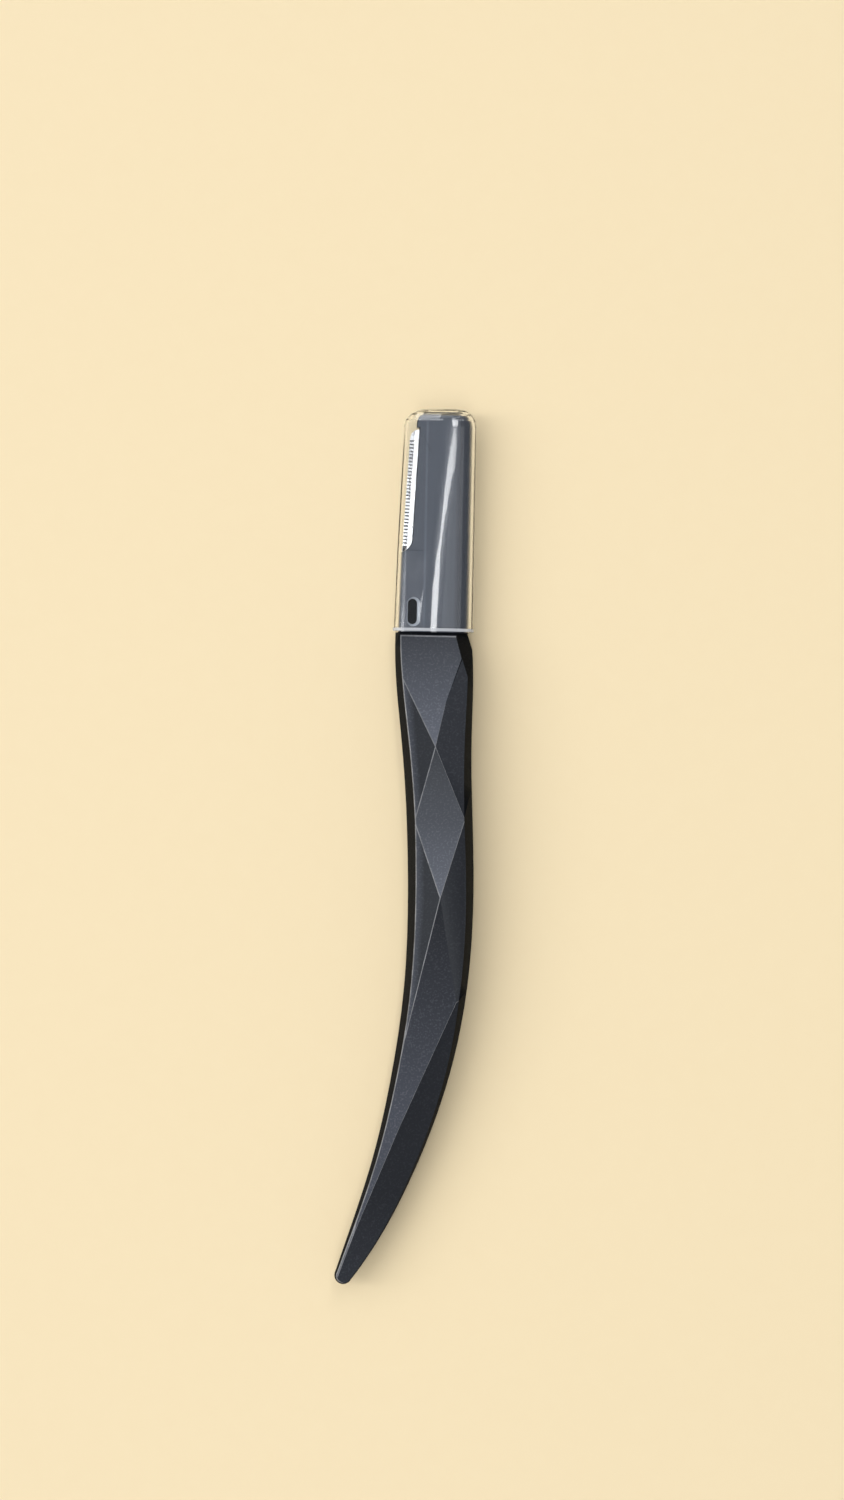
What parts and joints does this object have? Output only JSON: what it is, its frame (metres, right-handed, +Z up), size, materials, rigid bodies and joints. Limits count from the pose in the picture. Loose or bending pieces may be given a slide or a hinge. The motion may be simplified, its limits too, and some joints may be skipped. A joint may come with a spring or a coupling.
{
  "type": "eyebrow razor",
  "caption": "Slim eyebrow razor with a faceted, curved black handle, a glossy grey blade head with a toothed guard, and a clear pull-off cap.",
  "frame": {"origin": "on the flat facet at the back of the handle, on which the razor lies", "axes": "+Y along the head towards its end, +X towards the spine away from the cutting edge, +Z up from the surface it lies on"},
  "size_m": [0.0224, 0.1493, 0.009],
  "materials": {
    "handle_plastic": "finely textured satin black",
    "head_plastic": "polished slate grey",
    "blade_steel": "fine ground stainless steel",
    "guard_foil": "bright etched foil",
    "cap_plastic": "clear polished plastic"
  },
  "bodies": {
    "razor": {"handle_front_shell": "handle_plastic", "handle_rear_shell": "handle_plastic", "head_front_shell": "head_plastic", "head_rear_shell": "head_plastic", "blade": "blade_steel", "guard_comb": "guard_foil"},
    "cap": {"clear_cap": "cap_plastic"}
  },
  "joints": [
    {"name": "cap_slide", "type": "slide", "parent": "razor", "child": "cap", "axis": [0, 1, 0], "range_m": [0, 0.04]}
  ]
}
